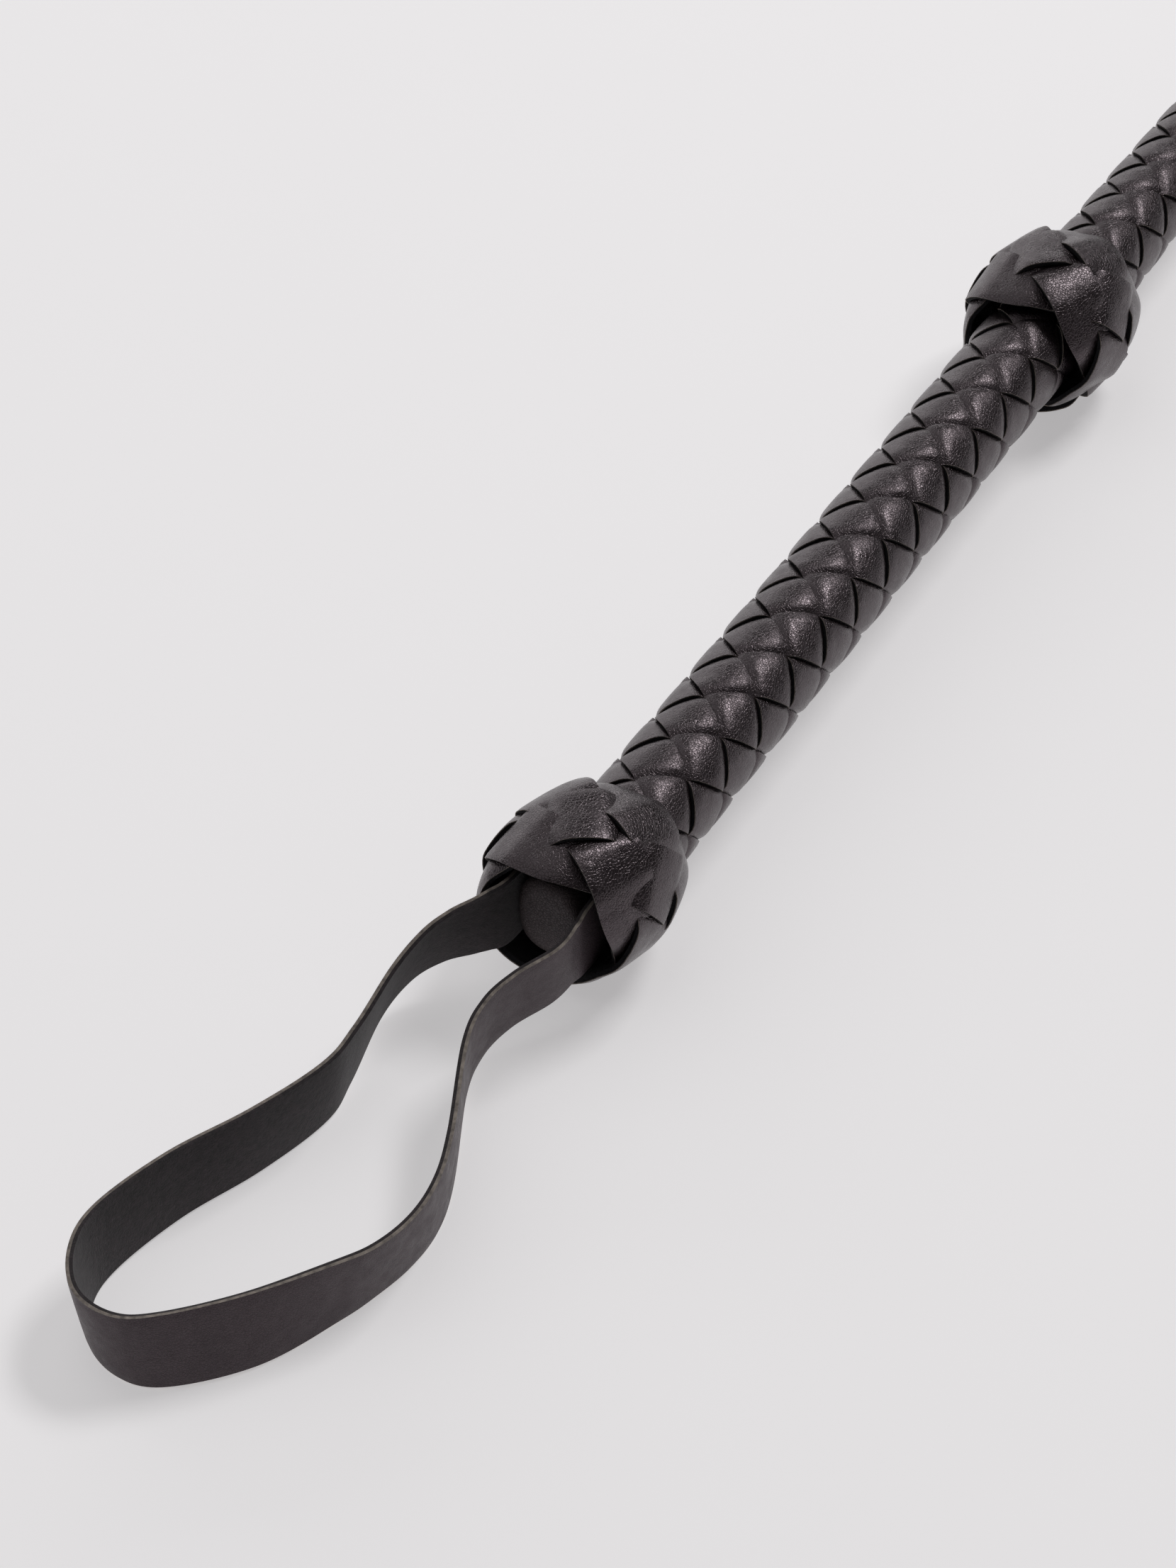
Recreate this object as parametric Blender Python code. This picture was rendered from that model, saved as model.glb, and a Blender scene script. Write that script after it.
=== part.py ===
"""Riding crop lying on a flat surface: braided handle and shaft, two Turk's-head knots, wrist loop, keeper.

Stations run along the crop from the butt end, in metres, and become X. Y is sideways, and Z is height above
the handle's centre line until the whole crop is lifted onto the surface at the end.
"""

import math

import bmesh
import bpy
import numpy as np
from mathutils import Vector

MM = 0.001

# Shaft centre line: straight through both knots, then a light droop down to the tip collar
RING_STATION = 198.0 * MM
COLLAR_STATION = 555.0 * MM
KEEPER_SLOPE = 0.02

# Braided handle and shaft
HANDLE_START = 23.0 * MM
HANDLE_END = 186.0 * MM
SHAFT_START = 190.0 * MM
SHAFT_END = 548.0 * MM
BUTT_RADIUS = 10.8 * MM
SHAFT_RADIUS = 9.9 * MM
TIP_RADIUS = 3.9 * MM
SHAFT_TAPER_START = 216.0 * MM

STRAND_PAIRS = 4
COLUMN_ANGLE = math.radians(45.0)
FIRST_COLUMN = math.radians(53.7)
ROW_START = 40.0 * MM
ROW_PITCH = 12.4 * MM
STRAND_COVER = 0.80
STRAND_THICKNESS = 1.3 * MM
STRAND_GAP = 0.5 * MM
STRAND_PLATEAU = 0.41
PLAIT_BORE_SHARE = 0.7

# Knots
KNOT_LEADS = 3
KNOT_BIGHTS = 5
KNOT_LENGTH = 31.0 * MM
KNOT_STRIP = 9.0 * MM
KNOT_THICKNESS = 1.2 * MM
KNOT_GAP = 0.5 * MM
KNOT_INNER_RADIUS = 13.9 * MM
KNOT_BARREL = 1.4 * MM
KNOT_PLATEAU = 0.4
BUTT_KNOT_STATION = 17.5 * MM
BUTT_KNOT_TURN = math.radians(-126.0)
RING_KNOT_TURN = math.radians(-126.0)
# The share of the barrel's fall at the strip's corner that touches the surface
KNOT_REST_FALL = 0.135
KNOT_CORE_RADIUS = 12.4 * MM
RING_CORE_BORE = 10.6 * MM
RING_CORE_REACH = 12.0 * MM
WHIPPING_BORE = 11.3 * MM
WHIPPING_THICKNESS = 0.9 * MM
WHIPPING_START = 21.0 * MM
WHIPPING_END = 25.0 * MM
BUTT_CORE_START = 25.3 * MM
BUTT_CORE_END = 30.0 * MM

# Core
ROD_START = 15.7 * MM
ROD_RADIUS = 3.0 * MM
ROD_TIP_RADIUS = 1.5 * MM
SLEEVE_GAP = 0.8 * MM
CLEARANCE = 0.35 * MM

# Butt plug, cap, tacks
PLUG_CENTRE_Y = 1.7 * MM
PLUG_HALF_WIDTH = 6.3 * MM
PLUG_HALF_HEIGHT = 8.0 * MM
PLUG_START = 8.4 * MM
PLUG_END = 19.4 * MM
PLUG_SQUARENESS = 2.6
CAP_FACE = 4.5 * MM
CAP_BEVEL = 1.0 * MM
TACK_STATION = 11.8 * MM
TACK_HOLE_RADIUS = 1.1 * MM
TACK_RADIUS = 0.8 * MM
TACK_HEAD_RADIUS = 1.9 * MM
TACK_HEAD_HEIGHT = 0.9 * MM
TACK_REACH = 3.6 * MM
DRILL_REACH = 5.2 * MM

# Wrist loop
STRAP_WIDTH = 15.0 * MM
STRAP_THICKNESS = 1.3 * MM
STRAP_ROOT_HEIGHT = -0.3 * MM
STRAP_DROP = 8.7 * MM
STRAP_DROP_LENGTH = 50.0 * MM
LOOP_PIVOT_STATION = -11.5 * MM
TAIL_END = -2.8 * MM

# Keeper
KEEPER_PIVOT_STATION = 572.0 * MM
KEEPER_END = 650.0 * MM
KEEPER_HALF_WIDTH = 14.0 * MM
KEEPER_ROOT_HALF_WIDTH = 6.0 * MM
KEEPER_LEAF = 1.5 * MM
KEEPER_LEAF_GAP = 0.5 * MM
STITCH_SIDE = 11.5 * MM
STITCH_RADIUS = 0.3 * MM
STITCH_LIFT = 0.65 * MM
STITCH_STATIONS = (596.0 * MM, 620.0 * MM, 644.0 * MM)

# Tip: whipping, collar and the tongue that holds the keeper
COLLAR_START = 538.0 * MM
COLLAR_END = 566.0 * MM
COLLAR_RADIUS = 7.2 * MM
COLLAR_BORE = 5.6 * MM
TIP_WHIPPING_START = 541.0 * MM
TIP_WHIPPING_END = 561.0 * MM
TIP_WHIPPING_RADIUS = 5.3 * MM
TIP_WHIPPING_BORE = 4.6 * MM
TONGUE_STATIONS = (549.0 * MM, 555.0 * MM, 562.0 * MM, 569.5 * MM)
TONGUE_HALF_WIDTH = 4.0 * MM
TONGUE_THICKNESS = 2.6 * MM

KNOT_SKIN = KNOT_INNER_RADIUS + 2 * KNOT_THICKNESS + KNOT_GAP
KNOT_REST = KNOT_SKIN - KNOT_BARREL * KNOT_REST_FALL
TIP_DROOP = KNOT_REST - COLLAR_RADIUS

# The strap's middle line seen from above (station, sideways) in millimetres, and how far its lower edge
# leans outward in degrees, going out along the left leg, round the end and back along the right leg.
LOOP_ROUTE = [
    (19.0, 9.0, 0.0),
    (12.0, 9.0, 0.0),
    (6.0, 9.0, 0.0),
    (1.5, 9.8, 0.0),
    (-2.0, 12.6, 6.0),
    (-6.0, 16.4, 12.0),
    (-11.5, 19.2, 15.0),
    (-20.0, 20.1, 14.0),
    (-33.0, 18.6, 8.0),
    (-42.0, 18.4, 3.0),
    (-57.0, 22.8, -2.0),
    (-72.0, 29.0, -6.0),
    (-87.0, 32.5, -9.0),
    (-96.0, 31.2, -7.0),
    (-102.5, 25.8, -6.0),
    (-104.4, 18.2, 2.0),
    (-101.3, 11.0, 12.0),
    (-90.5, 1.0, 12.0),
    (-77.0, -6.6, -1.0),
    (-70.0, -9.7, -7.0),
    (-62.0, -11.4, -7.0),
    (-53.5, -11.0, -4.0),
    (-44.0, -8.0, -2.0),
    (-27.0, -0.3, -3.0),
    (-18.5, 1.2, -5.0),
    (-11.5, -0.6, -7.0),
    (-4.5, -4.7, -7.0),
    (0.5, -5.8, -4.0),
    (5.0, -5.9, 0.0),
    (19.0, -5.9, 0.0),
]


def clear_scene():
    for obj in list(bpy.data.objects):
        bpy.data.objects.remove(obj, do_unlink=True)


def make_material(name, colour, roughness, metallic=0.0):
    material = bpy.data.materials.new(name)
    material.use_nodes = True
    shader = material.node_tree.nodes["Principled BSDF"]
    shader.inputs["Base Color"].default_value = (*colour, 1.0)
    shader.inputs["Roughness"].default_value = roughness
    shader.inputs["Metallic"].default_value = metallic
    return material


def droop(station):
    """How far the centre line hangs below the handle's line."""
    along = (station - RING_STATION) / (COLLAR_STATION - RING_STATION)
    if along <= 0:
        return 0.0
    if along <= 1:
        return TIP_DROOP * along**2
    return TIP_DROOP + KEEPER_SLOPE * (station - COLLAR_STATION)


def braid_radius(station):
    if station <= SHAFT_TAPER_START:
        along = station / SHAFT_TAPER_START
        return BUTT_RADIUS + (SHAFT_RADIUS - BUTT_RADIUS) * along
    along = (station - SHAFT_TAPER_START) / (SHAFT_END - SHAFT_TAPER_START)
    return SHAFT_RADIUS + (TIP_RADIUS - SHAFT_RADIUS) * min(along, 1.0)


def rod_radius(station):
    along = (station - ROD_START) / (SHAFT_END - ROD_START)
    return ROD_RADIUS + (ROD_TIP_RADIUS - ROD_RADIUS) * along


def around(station, radius, angle):
    """The point at this distance from the centre line, with the angle counted from +Z towards +Y."""
    return Vector(
        (station, radius * math.sin(angle), radius * math.cos(angle) - droop(station))
    )


def add_solid(name, points, faces, material, frame, origin=Vector((0, 0, 0))):
    mesh = bpy.data.meshes.new(name)
    mesh.from_pydata([Vector(p) - origin for p in points], [], faces)
    shell = bmesh.new()
    shell.from_mesh(mesh)
    bmesh.ops.recalc_face_normals(shell, faces=shell.faces)
    shell.to_mesh(mesh)
    shell.free()
    mesh.shade_smooth()
    mesh.set_sharp_from_angle(angle=math.radians(35))
    mesh.materials.append(material)
    obj = bpy.data.objects.new(name, mesh)
    bpy.context.scene.collection.objects.link(obj)
    obj.parent = frame
    obj.location = origin
    return obj


def join_rings(rings, closed):
    """Points and faces of a skin over equal rings, either closed on itself or with a cap at each end."""
    size = len(rings[0])
    points = [point for ring in rings for point in ring]
    spans = len(rings) if closed else len(rings) - 1
    faces = []
    for i in range(spans):
        near, far = i * size, (i + 1) % len(rings) * size
        for j in range(size):
            k = (j + 1) % size
            faces.append((near + j, near + k, far + k, far + j))
    if not closed:
        faces.append(tuple(range(size)))
        faces.append(tuple((len(rings) - 1) * size + j for j in range(size)))
    return points, faces


def circle(station, radius, sides):
    return [
        around(station, radius, 2 * math.pi * (j + 0.5) / sides) for j in range(sides)
    ]


def tube(name, stations, outer, inner, sides, material, frame):
    """A tube along the centre line whose outer and inner radii are functions of the station."""
    rings = [circle(s, outer(s), sides) for s in stations]
    rings += [circle(s, inner(s), sides) for s in reversed(stations)]
    return add_solid(name, *join_rings(rings, True), material, frame)


def ring_of(name, start, end, outer, inner, sides, material, frame):
    return tube(
        name, [start, end], lambda s: outer, lambda s: inner, sides, material, frame
    )


def ribbon(name, centres, across, thickness, closed, material, frame, origin):
    """A flat strip through the centres, with half its width given by the across vectors."""
    rings = []
    count = len(centres)
    for i, (centre, side) in enumerate(zip(centres, across)):
        before = centres[(i - 1) % count] if closed else centres[max(i - 1, 0)]
        after = centres[(i + 1) % count] if closed else centres[min(i + 1, count - 1)]
        normal = (after - before).cross(side).normalized() * thickness / 2
        rings.append(
            [
                centre + side + normal,
                centre - side + normal,
                centre - side - normal,
                centre + side - normal,
            ]
        )
    return add_solid(
        name, *join_rings(rings, closed), material, frame, origin=origin
    )


def smooth_route(route, steps):
    """Points on a smooth curve through the route, with its other values carried along."""
    keys = np.array([route[0], *route, route[-1]], float)
    found = []
    for i in range(1, len(keys) - 2):
        a, b, c, d = keys[i - 1], keys[i], keys[i + 1], keys[i + 2]
        for t in np.arange(steps) / steps:
            found.append(
                0.5
                * (
                    2 * b
                    + (c - a) * t
                    + (2 * a - 5 * b + 4 * c - d) * t**2
                    + (3 * b - a - 3 * c + d) * t**3
                )
            )
    found.append(keys[-2])
    return np.array(found)


def over_height(along, over_when_even):
    """0 where a strand runs under, 1 where it runs over, with short ramps between the strands it crosses."""
    cell = math.floor(along)
    here = float((cell % 2 == 0) == over_when_even)
    offset = along - cell - 0.5
    if abs(offset) <= STRAND_PLATEAU:
        return here
    ramp = (abs(offset) - STRAND_PLATEAU) / (1 - 2 * STRAND_PLATEAU)
    return here + (1 - 2 * here) * ramp


def braid_strand(number, rising, material, frame):
    """One of the eight strands: it crosses the other family over one, under one."""
    middle = number + 0.5
    first_row = (HANDLE_START - ROW_START) / ROW_PITCH
    last_row = (HANDLE_END - ROW_START) / ROW_PITCH
    start, end = 2 * first_row - middle, 2 * last_row - middle
    cells = range(math.floor(start) - 1, math.ceil(end) + 1)
    stops = [n + 0.5 + k * STRAND_PLATEAU for n in cells for k in (-1, 0, 1)]
    stops = [start] + [u for u in stops if start + 0.02 < u < end - 0.02] + [end]
    rings = []
    for along in stops:
        over = over_height(along, (number % 2 == 0) == rising)
        ring = []
        for lift in (0, 1):
            for across in (-0.5, 0.0, 0.5) if lift else (0.5, 0.0, -0.5):
                own = middle + across * STRAND_COVER
                row = (own + along) / 2
                column = (along - own) if rising else (own - along)
                station = ROW_START + ROW_PITCH * row
                base = braid_radius(station) - 2 * STRAND_THICKNESS - STRAND_GAP
                radius = base + over * (STRAND_THICKNESS + STRAND_GAP)
                angle = FIRST_COLUMN - COLUMN_ANGLE * column
                ring.append(around(station, radius + lift * STRAND_THICKNESS, angle))
        rings.append(ring)
    family = 1 if rising else 1 + STRAND_PAIRS
    name = f"handle_strand_{family + number}"
    return add_solid(name, *join_rings(rings, False), material, frame)


def knot_height(phase):
    """Height of the knot strand at this phase of three steps: over at 1, under at 2, then up round the edge."""
    low, high = 2 + KNOT_PLATEAU, 4 - KNOT_PLATEAU
    if phase < 1 - KNOT_PLATEAU:
        phase += 3
    if phase > low:
        return (phase - low) / (high - low)
    ramp = (phase - 1 - KNOT_PLATEAU) / (1 - 2 * KNOT_PLATEAU)
    return 1 - min(max(ramp, 0.0), 1.0)


def turks_head(name, station, turn, material, frame):
    """A Turk's-head knot: one closed strip that goes round three times with five loops at each edge."""
    steps = 2 * KNOT_LEADS * KNOT_BIGHTS
    reach = (KNOT_LENGTH - KNOT_STRIP) / 2
    stops = []
    for first in range(0, steps, 3):
        stops += [first, first + 0.5 * (1 - KNOT_PLATEAU)]
        for crossing in (first + 1, first + 2):
            stops += [crossing - KNOT_PLATEAU, crossing, crossing + KNOT_PLATEAU]
        stops.append(first + 2.5 + 0.5 * KNOT_PLATEAU)

    def path(step):
        share = 2 * math.pi * step / steps
        return reach * math.cos(share * KNOT_BIGHTS), turn + share * KNOT_LEADS

    rings = []
    for step in stops:
        along, angle = path(step)
        ahead, angle_ahead = path(step + 0.01)
        run = Vector((ahead - along, (angle_ahead - angle) * KNOT_INNER_RADIUS))
        side = Vector((-run.y, run.x)).normalized() * KNOT_STRIP / 2
        over = knot_height(step % 3)
        ring = []
        for lift in (0, 1):
            for across in (-1, 0, 1) if lift else (1, 0, -1):
                place = along + across * side.x
                bulge = KNOT_BARREL * (2 * place / KNOT_LENGTH) ** 2
                radius = KNOT_INNER_RADIUS - bulge
                radius += over * (KNOT_THICKNESS + KNOT_GAP) + lift * KNOT_THICKNESS
                bearing = angle + across * side.y / KNOT_INNER_RADIUS
                ring.append(around(station + place, radius, bearing))
        rings.append(ring)
    return add_solid(name, *join_rings(rings, True), material, frame)


def oval(station, half_width, half_height, sides=24):
    """A rounded-square outline, fuller than an ellipse."""
    ring = []
    for j in range(sides):
        angle = 2 * math.pi * j / sides
        side, up = math.cos(angle), math.sin(angle)
        power = PLUG_SQUARENESS
        reach = (abs(side) ** power + abs(up) ** power) ** (-1 / power)
        ring.append(
            Vector(
                (
                    station,
                    PLUG_CENTRE_Y + half_width * side * reach,
                    half_height * up * reach,
                )
            )
        )
    return ring


def cut_hole(target, cutter):
    modifier = target.modifiers.new("hole", "BOOLEAN")
    modifier.operation = "DIFFERENCE"
    modifier.object = cutter


def sideways_pin(name, side, start, profile, material, frame, sides=12):
    """A round pin along Y, its profile a list of distances outward and radii."""
    rings = []
    for outward, radius in profile:
        ring = []
        for j in range(sides):
            angle = 2 * math.pi * j / sides
            ring.append(
                Vector(
                    (
                        TACK_STATION + radius * math.cos(angle),
                        side * (start + outward),
                        STRAP_ROOT_HEIGHT + radius * math.sin(angle),
                    )
                )
            )
        rings.append(ring)
    return add_solid(name, *join_rings(rings, False), material, frame)


def add_core(materials, frame):
    stations = [ROD_START, *np.linspace(RING_STATION, SHAFT_END, 13)]
    rings = [circle(s, rod_radius(s), 12) for s in stations]
    add_solid("core_rod", *join_rings(rings, False), materials["fibreglass"], frame)
    tube(
        "handle_sleeve",
        [PLUG_END + CLEARANCE, HANDLE_END],
        lambda s: braid_radius(s) - 2 * STRAND_THICKNESS - STRAND_GAP - SLEEVE_GAP,
        lambda s: rod_radius(s) + CLEARANCE,
        20,
        materials["plastic"],
        frame,
    )
    filler_stations = [SHAFT_START, *np.linspace(SHAFT_TAPER_START, SHAFT_END, 12)]
    tube(
        "shaft_filler",
        filler_stations,
        lambda s: PLAIT_BORE_SHARE * braid_radius(s) - CLEARANCE,
        lambda s: rod_radius(s) + CLEARANCE,
        12,
        materials["plastic"],
        frame,
    )


def add_braid(materials, frame):
    for rising in (True, False):
        for number in range(STRAND_PAIRS):
            braid_strand(number, rising, materials["leather"], frame)
    stations = [SHAFT_START, *np.linspace(SHAFT_TAPER_START, SHAFT_END, 12)]
    tube(
        "shaft_plait",
        stations,
        braid_radius,
        lambda s: PLAIT_BORE_SHARE * braid_radius(s),
        16,
        materials["leather"],
        frame,
    )


def add_knots(materials, frame):
    leather, fibre = materials["leather"], materials["thread"]
    turks_head("butt_knot_strand", BUTT_KNOT_STATION, BUTT_KNOT_TURN, leather, frame)
    turks_head("ring_knot_strand", RING_STATION, RING_KNOT_TURN, leather, frame)
    whipping = (WHIPPING_START, WHIPPING_END, WHIPPING_BORE + WHIPPING_THICKNESS)
    ring_of("butt_whipping", *whipping, WHIPPING_BORE, 24, fibre, frame)
    butt_core = (BUTT_CORE_START, BUTT_CORE_END, KNOT_CORE_RADIUS)
    ring_of("butt_knot_core", *butt_core, WHIPPING_BORE, 24, fibre, frame)
    start, end = RING_STATION - RING_CORE_REACH, RING_STATION + RING_CORE_REACH
    ring_of(
        "ring_knot_core", start, end, KNOT_CORE_RADIUS, RING_CORE_BORE, 24, fibre, frame
    )


def add_butt_end(materials, frame):
    bore = ROD_RADIUS + CLEARANCE
    bore_start = ROD_START - 0.5 * MM
    plug_rings = [
        oval(PLUG_START, PLUG_HALF_WIDTH, PLUG_HALF_HEIGHT),
        oval(PLUG_END, PLUG_HALF_WIDTH, PLUG_HALF_HEIGHT),
        bore_circle(PLUG_END, bore),
        bore_circle(bore_start, bore),
    ]
    plug = add_solid(
        "butt_plug", *join_rings(plug_rings, False), materials["wood"], frame
    )
    rim = 0.3 * CAP_BEVEL
    cap_half_height = PLUG_HALF_HEIGHT + rim
    cap_rings = [
        oval(CAP_FACE, PLUG_HALF_WIDTH - CAP_BEVEL, PLUG_HALF_HEIGHT - CAP_BEVEL),
        oval(CAP_FACE + rim, PLUG_HALF_WIDTH - rim, PLUG_HALF_HEIGHT),
        oval(CAP_FACE + CAP_BEVEL, PLUG_HALF_WIDTH, cap_half_height),
        oval(PLUG_START - CLEARANCE, PLUG_HALF_WIDTH, cap_half_height),
    ]
    add_solid("end_cap", *join_rings(cap_rings, False), materials["leather"], frame)
    return plug


def bore_circle(station, radius, sides=24):
    return [
        Vector(
            (
                station,
                radius * math.cos(2 * math.pi * j / sides),
                radius * math.sin(2 * math.pi * j / sides),
            )
        )
        for j in range(sides)
    ]


def strap_height(station):
    along = min(max(-station / STRAP_DROP_LENGTH, 0.0), 1.0)
    return STRAP_ROOT_HEIGHT - STRAP_DROP * (1 - (1 - along) ** 2)


def strap_stations():
    """The strap's middle line and its half-width vectors, from one tail end to the other."""
    route = smooth_route(LOOP_ROUTE, 4)
    plan = route[:, :2] * MM
    lean = np.radians(route[:, 2])
    run = np.gradient(plan, axis=0)
    run /= np.linalg.norm(run, axis=1)[:, None]
    centres, across = [], []
    for (station, side), angle, (ahead, left) in zip(plan, lean, run):
        centres.append(Vector((station, side, strap_height(station))))
        outward = Vector((left, -ahead, 0)) * math.sin(angle)
        across.append((Vector((0, 0, math.cos(angle))) - outward) * STRAP_WIDTH / 2)
    return centres, across


def cut_strap(centres, across, station):
    """The middle line's point at this station and its half-width vector, on the given run of points."""
    for i in range(len(centres) - 1):
        a, b = centres[i].x, centres[i + 1].x
        if (a - station) * (b - station) <= 0 and a != b:
            t = (station - a) / (b - a)
            return i, centres[i].lerp(centres[i + 1], t), across[i].lerp(across[i + 1], t)
    raise ValueError("the strap doesn't pass that station")


def add_tail(name, centres, across, leather, frame):
    i, centre, side = cut_strap(centres, across, TAIL_END)
    return ribbon(
        name,
        [*centres[: i + 1], centre],
        [*across[: i + 1], side],
        STRAP_THICKNESS,
        False,
        leather,
        frame,
        Vector((0, 0, 0)),
    )


def rounded_root(centres, across, pivot):
    """Stations from the rounded root end up to the pivot, all inside a circle about the pivot."""
    found = []
    radius = STRAP_WIDTH / 2
    for share in (0.985, 0.9, 0.72, 0.45):
        station = pivot.x + share * radius
        _, centre, side = cut_strap(centres, across, station)
        half = math.sqrt(1 - share**2)
        centre.z = pivot.z
        found.append((centre, side * half))
    return found


def add_loop(materials, frame, plug):
    leather = materials["leather"]
    centres, across = strap_stations()
    back_centres, back_across = centres[::-1], across[::-1]
    tails = [
        add_tail("loop_tail_left", centres, across, leather, frame),
        add_tail("loop_tail_right", back_centres, back_across, leather, frame),
    ]
    pivot = Vector(
        (LOOP_PIVOT_STATION, PLUG_CENTRE_Y, strap_height(LOOP_PIVOT_STATION))
    )
    left_root = rounded_root(centres, across, pivot)
    right_root = rounded_root(back_centres, back_across, pivot)
    free = [i for i, c in enumerate(centres) if c.x < LOOP_PIVOT_STATION + 0.5 * MM]
    middle = [(centres[i], across[i]) for i in free]
    whole = left_root + middle + right_root[::-1]
    ribbon(
        "wrist_loop",
        [centre for centre, _ in whole],
        [side for _, side in whole],
        STRAP_THICKNESS,
        False,
        leather,
        frame,
        pivot,
    )
    outer_faces = (centres[0].y, -centres[-1].y)
    for tail, side, face, label in zip(tails, (1, -1), outer_faces, ("left", "right")):
        surface = face + STRAP_THICKNESS / 2
        drill = [(-DRILL_REACH, TACK_HOLE_RADIUS), (2 * MM, TACK_HOLE_RADIUS)]
        cutter = sideways_pin(f"tack_drill_{label}", side, surface, drill, leather, frame)
        cutter.hide_render = True
        cutter.display_type = "WIRE"
        cut_hole(tail, cutter)
        cut_hole(plug, cutter)
        tack = [
            (-TACK_REACH, 0.3 * TACK_RADIUS),
            (-TACK_REACH + TACK_RADIUS, TACK_RADIUS),
            (0.3 * MM, TACK_RADIUS),
            (0.35 * MM, TACK_HEAD_RADIUS),
            (TACK_HEAD_HEIGHT, 0.6 * TACK_HEAD_RADIUS),
        ]
        name = f"loop_tack_{label}"
        sideways_pin(name, side, surface, tack, materials["steel"], frame)


def keeper_half_width(station):
    """Narrow at the root, then an S-curve out to the full width."""
    along = (station - KEEPER_PIVOT_STATION) / (20 * MM)
    along = min(max(along, 0.0), 1.0)
    grow = along**2 * (3 - 2 * along)
    return KEEPER_ROOT_HALF_WIDTH + (KEEPER_HALF_WIDTH - KEEPER_ROOT_HALF_WIDTH) * grow


def add_tip(materials, frame):
    leather, thread = materials["leather"], materials["thread"]
    whipping = (TIP_WHIPPING_START, TIP_WHIPPING_END, TIP_WHIPPING_RADIUS)
    ring_of("tip_whipping", *whipping, TIP_WHIPPING_BORE, 20, thread, frame)
    profile = [
        (COLLAR_START, COLLAR_BORE),
        (COLLAR_START, COLLAR_RADIUS - 1.0 * MM),
        (COLLAR_START + 3 * MM, COLLAR_RADIUS - 0.2 * MM),
        (COLLAR_START + 8 * MM, COLLAR_RADIUS),
        (COLLAR_END - 6 * MM, COLLAR_RADIUS),
        (COLLAR_END - 2 * MM, COLLAR_RADIUS - 0.2 * MM),
        (COLLAR_END, COLLAR_RADIUS - 1.0 * MM),
        (COLLAR_END, COLLAR_BORE),
    ]
    rings = [circle(station, radius, 20) for station, radius in profile]
    add_solid("tip_collar", *join_rings(rings, True), leather, frame)
    tongue = [Vector((s, 0, -droop(s))) for s in TONGUE_STATIONS]
    across = [Vector((0, TONGUE_HALF_WIDTH, 0))] * len(tongue)
    world_origin = Vector((0, 0, 0))
    thick = TONGUE_THICKNESS
    ribbon("keeper_tongue", tongue, across, thick, False, leather, frame, world_origin)


def add_keeper(materials, frame):
    pivot = Vector((KEEPER_PIVOT_STATION, 0, -droop(KEEPER_PIVOT_STATION)))
    offset = (KEEPER_LEAF + KEEPER_LEAF_GAP) / 2
    fold = KEEPER_END - offset - KEEPER_LEAF / 2
    root = KEEPER_PIVOT_STATION - 1.0 * MM
    leaf = [root, *np.linspace(KEEPER_PIVOT_STATION + 2 * MM, fold, 9)]
    bend = [math.radians(a) for a in (30, 60, 90, 120, 150)]
    outline = [(s, offset) for s in leaf]
    outline += [(fold + offset * math.sin(a), offset * math.cos(a)) for a in bend]
    outline += [(s, -offset) for s in reversed(leaf)]
    centres = [Vector((s, 0, z - droop(s))) for s, z in outline]
    across = [Vector((0, keeper_half_width(s), 0)) for s, _ in outline]
    ribbon(
        "keeper", centres, across, KEEPER_LEAF, False, materials["leather"], frame, pivot
    )
    height = offset + KEEPER_LEAF / 2 + STITCH_LIFT
    for side, label in ((1, "left"), (-1, "right")):
        rings = []
        for station in STITCH_STATIONS:
            centre = Vector((station, side * STITCH_SIDE, height - droop(station)))
            ring = []
            for j in range(6):
                angle = math.pi * j / 3
                turn = Vector((0, math.cos(angle), math.sin(angle)))
                ring.append(centre + turn * STITCH_RADIUS)
            rings.append(ring)
        name = f"keeper_stitching_{label}"
        points, faces = join_rings(rings, False)
        add_solid(name, points, faces, materials["thread"], frame, origin=pivot)


def stand_on_surface(frame):
    """Moves the crop so that its box is centred over the origin and its lowest point is at Z = 0."""
    bpy.context.view_layer.update()
    solids = [obj for obj in bpy.data.objects if obj.type == "MESH" and not obj.hide_render]
    corners = np.array(
        [obj.matrix_world @ vertex.co for obj in solids for vertex in obj.data.vertices]
    )
    low, high = corners.min(axis=0), corners.max(axis=0)
    frame.location = (-(low[0] + high[0]) / 2, -(low[1] + high[1]) / 2, -low[2])


def main():
    clear_scene()
    materials = {
        "leather": make_material("black leather", (0.022, 0.019, 0.02), 0.42),
        "thread": make_material("waxed thread", (0.03, 0.028, 0.028), 0.7),
        "plastic": make_material("grip build-up", (0.05, 0.05, 0.055), 0.55),
        "fibreglass": make_material("fibreglass rod", (0.55, 0.56, 0.5), 0.35),
        "wood": make_material("butt plug wood", (0.5, 0.33, 0.18), 0.6),
        "steel": make_material("tack steel", (0.6, 0.6, 0.6), 0.3, 1.0),
    }
    frame = bpy.data.objects.new("crop_frame", None)
    bpy.context.scene.collection.objects.link(frame)
    add_core(materials, frame)
    add_braid(materials, frame)
    add_knots(materials, frame)
    plug = add_butt_end(materials, frame)
    add_loop(materials, frame, plug)
    add_tip(materials, frame)
    add_keeper(materials, frame)
    stand_on_surface(frame)


main()
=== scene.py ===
"""Looks of the riding crop: woven leather strips, two Turk's-head knots, a wrist strap and a keeper.

Stations run along the crop from the butt end, as in the CAD: X is the station, Y is sideways and Z is
the height above the handle's centre line. World coordinates add the butt end's place in the frame.
"""

import math

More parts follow.
